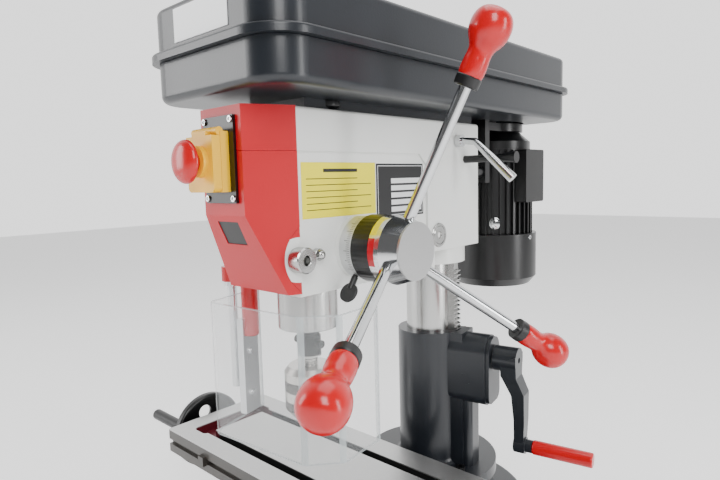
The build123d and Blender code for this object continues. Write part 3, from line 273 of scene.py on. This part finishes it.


# polished hub whose first band carries painted reflections, part yellow, part red
def hubChrome():
    g = Graph("hubChrome")
    x, y, z = g.axes()
    turn = (z - feedAxis["z"]).math("ARCTAN2", y - feedAxis["y"])
    band = x.below(0.1063)
    # painted reflections: red on the arc facing the front, yellow on the arc facing up and forward, drawn as
    # flat non-metal colour
    red = band * (turn.above(2.72).math("MAXIMUM", turn.below(-2.75)))
    yellowReflection = band * turn.within(2.05, 2.62)
    cloud = g.noise(20.0, 2.0)
    colour = g.mix(red, (0.66, 0.67, 0.68), (0.50, 0.0, 0.01))
    colour = g.mix(yellowReflection, colour, (0.88, 0.75, 0.0))
    # flat marks where the painted reflections replace the metal
    flat = red.math("MAXIMUM", yellowReflection)
    return g.put(Base_Color=colour, Metallic=flat * -1.0 + 1.0, Roughness=cloud * 0.06 + 0.12)


looks = {
    "anthracite": anthracite, "white_paint": whitePaint, "red_paint": redPaint, "black_metal": blackPaint,
    "ground_steel": turned, "bright_steel": chrome, "red_plastic": redGloss, "yellow_plastic": yellowGloss,
    "green_plastic": greenGloss, "black_plastic": blackPlastic, "clear_plastic": clearPlastic(),
    "rail_aluminium": alloy, "pulley_aluminium": alloy, "belt_rubber": beltRubber,
}
chuckLook = chuckSteel()


# white casting whose front end is red outside the round eye of the quill lock
def castingPaint():
    g = Graph("castingPaint")
    x, y, z = g.axes()
    across, rise = y - lockEye[1], z - lockEye[2]
    away = (across * across + rise * rise).math("SQRT")
    red = y.below(headFront) * away.above(0.0225)
    speck = g.noise(650.0, 2.0)
    cloud = g.noise(9.0, 4.0)
    g.bump(speck, 0.25, 0.00015)
    white = g.mix(cloud, (0.76, 0.77, 0.745), (0.82, 0.83, 0.81))
    return g.put(Base_Color=g.mix(red, white, redColour), Roughness=cloud * 0.12 + 0.28,
                 Coat_Weight=0.12)


special = {
    "table": tableSteel(), "chuck_sleeve": chuckLook, "chuck_body": chuckLook,
    "dial_ring": dialSteel(), "feed_hub": hubChrome(), "hub_cap": brushed, "column": turned,
    "quill_collar": turned, "head_casting": castingPaint(), "lift_gear": liftGearSteel(),
    "spindle": blackenedSpindle(),
}
for part in frame["record"]["subparts"]:
    name = part["node"]
    mesh = nodes[name].data
    mesh.materials.clear()
    mesh.materials.append(special.get(name, looks[part["material_slot"]]))
print("materials done")


# modelling helpers
def deselect():
    bpy.ops.object.select_all(action="DESELECT")


def pick(o):
    deselect()
    o.select_set(True)
    bpy.context.view_layer.objects.active = o


def settle(o, name, look, body):
    pick(o)
    bpy.ops.object.transform_apply(location=True, rotation=True, scale=True)
    o.name = name
    o.data.name = name
    o.data.materials.clear()
    o.data.materials.append(look)
    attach(o, body)
    return o


def bevelled(o, width, segments=2):
    pick(o)
    bevel = o.modifiers.new("bevel", "BEVEL")
    bevel.width = width
    bevel.segments = segments
    bevel.limit_method = "ANGLE"
    bpy.ops.object.modifier_apply(modifier="bevel")
    bpy.ops.object.shade_smooth_by_angle(angle=smoothAngle)


def selectFaces(o, test):
    bpy.ops.object.mode_set(mode="EDIT")
    bpy.ops.mesh.select_mode(type="FACE")
    bpy.ops.mesh.select_all(action="DESELECT")
    bpy.ops.object.mode_set(mode="OBJECT")
    for face in o.data.polygons:
        face.select = test(face)
    bpy.ops.object.mode_set(mode="EDIT")


# box with softened edges; a frame width sets its outer face in or out within a border
def plate(lowest, highest, frameWidth, frameDepth, soft=0.0008):
    lowest, highest = Vector(lowest), Vector(highest)
    size = highest - lowest
    bpy.ops.mesh.primitive_cube_add(size=1, location=(lowest + highest) / 2)
    o = bpy.context.object
    o.scale = size
    pick(o)
    bpy.ops.object.transform_apply(location=True, rotation=True, scale=True)
    if frameWidth:
        thin = min(range(3), key=lambda k: size[k])
        outward = Vector((0, 0, 0))
        outward[thin] = 1 if thin == 0 else -1
        selectFaces(o, lambda f: f.normal.dot(outward) > 0.9)
        bpy.ops.mesh.inset(thickness=frameWidth, depth=frameDepth)
        bpy.ops.object.mode_set(mode="OBJECT")
    bevelled(o, soft, 1)
    return o


def alongAxis(direction):
    return Vector(direction).normalized().to_track_quat("Z", "Y").to_euler()


# socket, hex or domed screw whose head stands on place and points along direction
def screw(place, direction, radius, height, recess, sides=6, domed=False):
    bpy.ops.mesh.primitive_cylinder_add(vertices=32 if recess else sides, radius=radius, depth=height)
    o = bpy.context.object
    o.data.transform(Matrix.Translation((0, 0, height / 2)))
    if recess:
        selectFaces(o, lambda f: f.normal.z > 0.9)
        bpy.ops.mesh.inset(thickness=radius - recess, depth=0)
        bpy.ops.mesh.extrude_region_move(TRANSFORM_OT_translate={"value": (0, 0, -height * 0.55)})
        bpy.ops.object.mode_set(mode="OBJECT")
    elif domed:
        selectFaces(o, lambda f: f.normal.z > 0.9)
        bpy.ops.mesh.inset(thickness=radius * 0.3, depth=height * 0.5)
        bpy.ops.mesh.inset(thickness=radius * 0.25, depth=height * 0.15)
        bpy.ops.object.mode_set(mode="OBJECT")
    o.rotation_euler = alongAxis(direction)
    o.location = place
    pick(o)
    bpy.ops.object.transform_apply(location=True, rotation=True, scale=True)
    bevelled(o, min(radius, height) * 0.12)
    return o


# profile of (radius, height) spun about +Z, then laid along direction from place
def spun(profile, place, direction, steps=64):
    mesh = bpy.data.meshes.new("profile")
    mesh.from_pydata([(r, 0, h) for r, h in profile], [(k, k + 1) for k in range(len(profile) - 1)], [])
    o = bpy.data.objects.new("profile", mesh)
    bpy.context.scene.collection.objects.link(o)
    pick(o)
    bpy.ops.object.mode_set(mode="EDIT")
    bpy.ops.mesh.select_all(action="SELECT")
    bpy.ops.mesh.spin(steps=steps, angle=2 * math.pi, center=(0, 0, 0), axis=(0, 0, 1))
    bpy.ops.mesh.remove_doubles(threshold=0.00001)
    bpy.ops.mesh.normals_make_consistent(inside=False)
    bpy.ops.object.mode_set(mode="OBJECT")
    o.rotation_euler = alongAxis(direction)
    o.location = place
    pick(o)
    bpy.ops.object.transform_apply(location=True, rotation=True, scale=True)
    bpy.ops.object.shade_smooth_by_angle(angle=smoothAngle)
    return o


def joined(parts):
    deselect()
    for o in parts:
        o.select_set(True)
    bpy.context.view_layer.objects.active = parts[0]
    bpy.ops.object.join()
    return parts[0]


# labels and plates on the head and the cover
label = dict(y0=-0.2827, y1=-0.1717, z0=0.5155, z1=0.572, thick=0.0005, print=0.0001, soft=0.00004,
             lineDrop=0.017, linePitch=0.0063, lineHeight=0.0008, lines=6)


def sideLabel():
    y0, y1, z0, z1 = (label[key] for key in ("y0", "y1", "z0", "z1"))
    face = panelSide + label["thick"]
    sheet = plate((panelSide, y0, z0), (face, y1, z1), 0.0025, -0.0001, 0.0002)
    settle(sheet, "sideLabel", yellowLabel, "lift")
    rules = []
    for k in range(label["lines"]):
        z = z1 - label["lineDrop"] - k * label["linePitch"]
        end = y1 - (0.008 if k % 2 else 0.030)
        rules.append(plate((face, y0 + 0.006, z), (face + label["print"], end, z + label["lineHeight"]),
                           0, 0, label["soft"]))
    rules.append(plate((face, y0 + 0.030, z1 - 0.010), (face + label["print"], y1 - 0.030, z1 - 0.0065),
                       0, 0, label["soft"]))
    settle(joined(rules), "labelRules", inkBlack, "lift")


rating = dict(y0=-0.170, y1=-0.0815, z0=0.509, z1=0.571, thick=0.0006, print=0.0001, soft=0.00004,
              border=0.0022, line=0.0007, rows=5, rowPitch=0.0083, rowHeight=0.0058)


# bare type plate: a thin frame line and blank rows
def ratingPlate():
    y0, y1, z0, z1 = (rating[key] for key in ("y0", "y1", "z0", "z1"))
    face = panelSide + rating["thick"]
    settle(plate((panelSide, y0, z0), (face, y1, z1), 0.003, -0.0001, 0.0003), "ratingPlate", inkBlack,
           "lift")
    boxes = []
    for k in range(rating["rows"]):
        z = z0 + 0.006 + k * rating["rowPitch"]
        boxes.append((y0 + 0.026, y1 - 0.005, z, z + rating["rowHeight"]))
    border, line = rating["border"], rating["line"]
    inY0, inY1, inZ0, inZ1 = y0 + border, y1 - border, z0 + border, z1 - border
    boxes += [(inY0, inY1, inZ1 - line, inZ1), (inY0, inY1, inZ0, inZ0 + line),
              (inY0, inY0 + line, inZ0, inZ1), (inY1 - line, inY1, inZ0, inZ1)]
    rows = [plate((face, a, c), (face + rating["print"], b, d), 0, 0, rating["soft"]) for a, b, c, d in boxes]
    settle(joined(rows), "ratingRows", whiteLabel, "lift")


badge = dict(lowest=(-0.0445, -0.3556, 0.6905), highest=(0.045, -0.3548, 0.7225), rim=0.0022)


def coverBadge():
    sheet = plate(badge["lowest"], badge["highest"], badge["rim"], -0.0002, 0.0003)
    settle(sheet, "coverBadge", whiteLabel, "lid")


sideLabel()
ratingPlate()
coverBadge()
print("labels done")

# screws, bolts and collars
switchScrew = dict(face=-0.3414, across=0.0215, heights=(0.5385, 0.6130), radius=0.0032, height=0.0018,
                   recess=0.0016)


def plateScrews():
    made = []
    for x in (-switchScrew["across"], switchScrew["across"]):
        for z in switchScrew["heights"]:
            made.append(screw((x, switchScrew["face"], z), (0, -1, 0), switchScrew["radius"],
                              switchScrew["height"], switchScrew["recess"]))
    settle(joined(made), "plateScrews", chrome, "lift")


trayBolt = dict(place=(0.0365, -0.2284, 0.6365), radius=0.013, height=0.006)


def domeBolt():
    bolt = screw(trayBolt["place"], (0, 0, -1), trayBolt["radius"], trayBolt["height"], 0, 40, True)
    settle(bolt, "trayBolt", blackPaint, "lift")


def onMotor(angle, radius, z):
    return motorAxis + Vector((radius * math.cos(angle), radius * math.sin(angle), z))


def outFrom(angle):
    return Vector((math.cos(angle), math.sin(angle), 0))


terminal = dict(angle=math.radians(-57.3), z=0.480, hexSeat=0.0605, hexSize=0.0078, washerSeat=0.0565,
                washerRadius=0.009, washerHeight=0.004, washerHole=0.0045)


def motorBolt():
    angle, z, size = terminal["angle"], terminal["z"], terminal["hexSize"]
    head = screw(onMotor(angle, terminal["hexSeat"], z), outFrom(angle), size, size, 0, 6)
    washer = screw(onMotor(angle, terminal["washerSeat"], z), outFrom(angle), terminal["washerRadius"],
                   terminal["washerHeight"], terminal["washerHole"])
    settle(joined([head, washer]), "motorBolt", chrome, "motor")


fanScrew = dict(first=-5.8, count=4, seat=0.0684, z=0.4565, radius=0.0034, height=0.0018, recess=0.0015)


def fanCoverScrews():
    made = []
    for k in range(fanScrew["count"]):
        angle = math.radians(fanScrew["first"] + 360 / fanScrew["count"] * k)
        made.append(screw(onMotor(angle, fanScrew["seat"], fanScrew["z"]), outFrom(angle), fanScrew["radius"],
                          fanScrew["height"], fanScrew["recess"]))
    settle(joined(made), "fanCoverScrews", chrome, "motor")


feed = dict(root=Vector((0.1056, feedAxis["y"], feedAxis["z"])), lean=math.radians(23.9),
            turns=(8.1, 128.1, 248.1), collarAt=0.1845, knobAt=0.230)
collarProfile = [(0.0063, -0.0105), (0.0112, -0.0105), (0.0122, -0.0095), (0.0125, -0.001), (0.0118, 0.0),
                 (0.0063, 0.0)]
# a waisted neck that flows into a broad cap
knobProfile = [(0.0063, -0.046), (0.0105, -0.046), (0.0118, -0.045), (0.0124, -0.040), (0.0122, -0.032),
               (0.0116, -0.026), (0.0119, -0.021), (0.0138, -0.0165), (0.0172, -0.011), (0.0193, -0.005),
               (0.0199, 0.001), (0.0193, 0.0065), (0.0175, 0.0115), (0.0145, 0.0155), (0.0104, 0.0181),
               (0.0055, 0.0195), (0.0, 0.0199)]


# unit vectors from the hub out along the three spokes
def spokeWays():
    ways = []
    for degree in feed["turns"]:
        turn = math.radians(degree)
        flat = math.cos(feed["lean"])
        ways.append(Vector((math.sin(feed["lean"]), flat * math.sin(turn), flat * math.cos(turn))))
    return ways


# smooth curve through the points, with a number of steps between each two
def curved(points, fine=5):
    last = len(points) - 1
    out = []
    for k in range(last):
        a, b, c, d = (points[max(0, min(last, k + n))] for n in (-1, 0, 1, 2))
        for n in range(fine):
            t = n / fine
            out.append(tuple(
                0.5 * (2 * b[m] + (c[m] - a[m]) * t + (2 * a[m] - 5 * b[m] + 4 * c[m] - d[m]) * t * t
                       + (3 * b[m] - a[m] - 3 * c[m] + d[m]) * t ** 3) for m in range(2)))
    return out + [points[-1]]


def feedKnobs():
    ways = spokeWays()
    collars = [spun(collarProfile, feed["root"] + way * feed["collarAt"], way, 48) for way in ways]
    settle(joined(collars), "knobCollars", blackPlastic, "feed")
    print("screws done")
    shape = curved(knobProfile)
    knobs = joined([spun(shape, feed["root"] + way * feed["knobAt"], way, 56) for way in ways])
    settle(knobs, "feedKnobs", redGloss, "feed")
    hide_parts("feed_knobs")
    print("knobs done")


plateScrews()
domeBolt()
motorBolt()
fanCoverScrews()
feedKnobs()

# quill lock ring, cap nut and the two socket plugs
ringProfile = [(0.0048, -0.002), (0.0048, 0.0105), (0.0054, 0.0112), (0.0118, 0.0112), (0.0130, 0.0100),
               (0.0130, -0.003)]
nutProfile = [(0.0062, -0.003), (0.0062, 0.003), (0.0056, 0.0036), (0.0052, 0.0052), (0.0040, 0.0072),
              (0.0021, 0.0084), (0.0, 0.0087)]
plugProfile = [(0.0033, -0.002), (0.0040, 0.0010), (0.0046, 0.0019), (0.0108, 0.0019), (0.0114, 0.0012),
               (0.0121, 0.0012), (0.0125, 0.0020), (0.0150, 0.0020), (0.0155, 0.0014), (0.0155, -0.001)]
headLock = dict(nut=(headSide, lockEye[1] + 0.0245, 0.4790), plugY=-0.0524, plugZ=0.4797)


def headLocks():
    made = [spun(ringProfile, lockEye, (1, 0, 0)), spun(nutProfile, headLock["nut"], (1, 0, 0), 40)]
    for side in (-1, 1):
        place = (side * headSide, headLock["plugY"], headLock["plugZ"])
        made.append(spun(plugProfile, place, (side, 0, 0)))
    settle(joined(made), "headLocks", turned, "lift")
    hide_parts("head_lock_screws")


# mushroom button with a thin domed cap on a waisted stem
capDome = [(0.0, 0.0325), (0.006, 0.0322), (0.012, 0.0312), (0.0168, 0.0293), (0.0196, 0.0268),
           (0.0205, 0.0245), (0.0203, 0.0228), (0.0180, 0.0222)]
capStem = [(0.0120, 0.0190), (0.0092, 0.0150), (0.0080, 0.0130), (0.0080, 0.0002), (0.0, 0.0002)]
capPlace = (-0.005, -0.3505, 0.574)


def mushroomCap():
    cap = spun(curved(capDome, 3) + capStem, capPlace, (0, -1, 0), 72)
    settle(cap, "mushroomCap", redGloss, "mushroom")
    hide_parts("mushroom_button")


headLocks()
mushroomCap()
print("locks and button done")

# stage, light and camera
bpy.ops.mesh.primitive_plane_add(size=14, location=(0, 0, 0))
floor = bpy.context.object
floor.name = "floor"
floorLook = Graph("floorLook")
floorLook.put(Base_Color=(0.95, 0.95, 0.95), Roughness=0.7, Emission_Color=(1.0, 1.0, 1.0),
              Emission_Strength=0.35)
floor.data.materials.append(floorLook.material)


def lamp(name, place, aim, size, power):
    data = bpy.data.lights.new(name, "AREA")
    data.shape = "RECTANGLE"
    data.size, data.size_y = size
    data.energy = power
    o = bpy.data.objects.new(name, data)
    bpy.context.scene.collection.objects.link(o)
    o.location = place
    o.rotation_euler = (Vector(aim) - Vector(place)).to_track_quat("-Z", "Y").to_euler()


lamp("keyLight", (1.7, -1.5, 1.9), (0, -0.1, 0.45), (0.9, 1.5), 46)
lamp("fillLight", (-2.0, -1.9, 1.1), (0, -0.2, 0.45), (0.9, 1.6), 30)
lamp("topLight", (0.3, 0.1, 2.6), (0, 0, 0.4), (1.8, 1.8), 30)
lamp("sideLight", (2.5, 0.5, 0.8), (0, 0, 0.45), (0.5, 1.6), 26)


awayFromCamera = (-0.678, 0.735, 0.0)


# studio walls: pale beyond the machine, darker behind the camera so that bare metal has something to reflect
def studioWorld():
    world = bpy.data.worlds.new("studio")
    bpy.context.scene.world = world
    world.use_nodes = True
    tree = world.node_tree
    place = tree.nodes.new("ShaderNodeTexCoord")
    facing = tree.nodes.new("ShaderNodeVectorMath")
    facing.operation = "DOT_PRODUCT"
    facing.inputs[1].default_value = awayFromCamera
    tree.links.new(place.outputs["Generated"], facing.inputs[0])
    spread = tree.nodes.new("ShaderNodeMapRange")
    spread.interpolation_type = "SMOOTHSTEP"
    for key, value in (("From Min", -0.2), ("From Max", 0.6), ("To Min", 0.16), ("To Max", 1.75)):
        spread.inputs[key].default_value = value
    tree.links.new(facing.outputs["Value"], spread.inputs["Value"])
    background = tree.nodes["Background"]
    background.inputs["Color"].default_value = (1, 1, 1, 1)
    tree.links.new(spread.outputs["Result"], background.inputs["Strength"])


studioWorld()

view = dict(place=(0.46943, -0.65329, 0.55334), azimuth=42.669, pitch=6.119, roll=-1.505, lens=28.107,
            sensor=36, near=0.02, far=60)


def studioCamera():
    azimuth, pitch, roll = (math.radians(view[key]) for key in ("azimuth", "pitch", "roll"))
    flat = math.cos(pitch)
    forward = Vector((-math.sin(azimuth) * flat, math.cos(azimuth) * flat, -math.sin(pitch)))
    level = forward.cross(Vector((0, 0, 1))).normalized()
    steep = level.cross(forward)
    right = level * math.cos(roll) + steep * math.sin(roll)
    up = steep * math.cos(roll) - level * math.sin(roll)
    camera = bpy.data.objects.new("camera", bpy.data.cameras.new("camera"))
    bpy.context.scene.collection.objects.link(camera)
    camera.data.sensor_width = view["sensor"]
    camera.data.lens = view["lens"]
    camera.data.clip_start = view["near"]
    camera.data.clip_end = view["far"]
    turn = Matrix([(right[k], up[k], -forward[k]) for k in range(3)]).to_4x4()
    camera.matrix_world = Matrix.Translation(view["place"]) @ turn
    bpy.context.scene.camera = camera


studioCamera()
print("stage done")
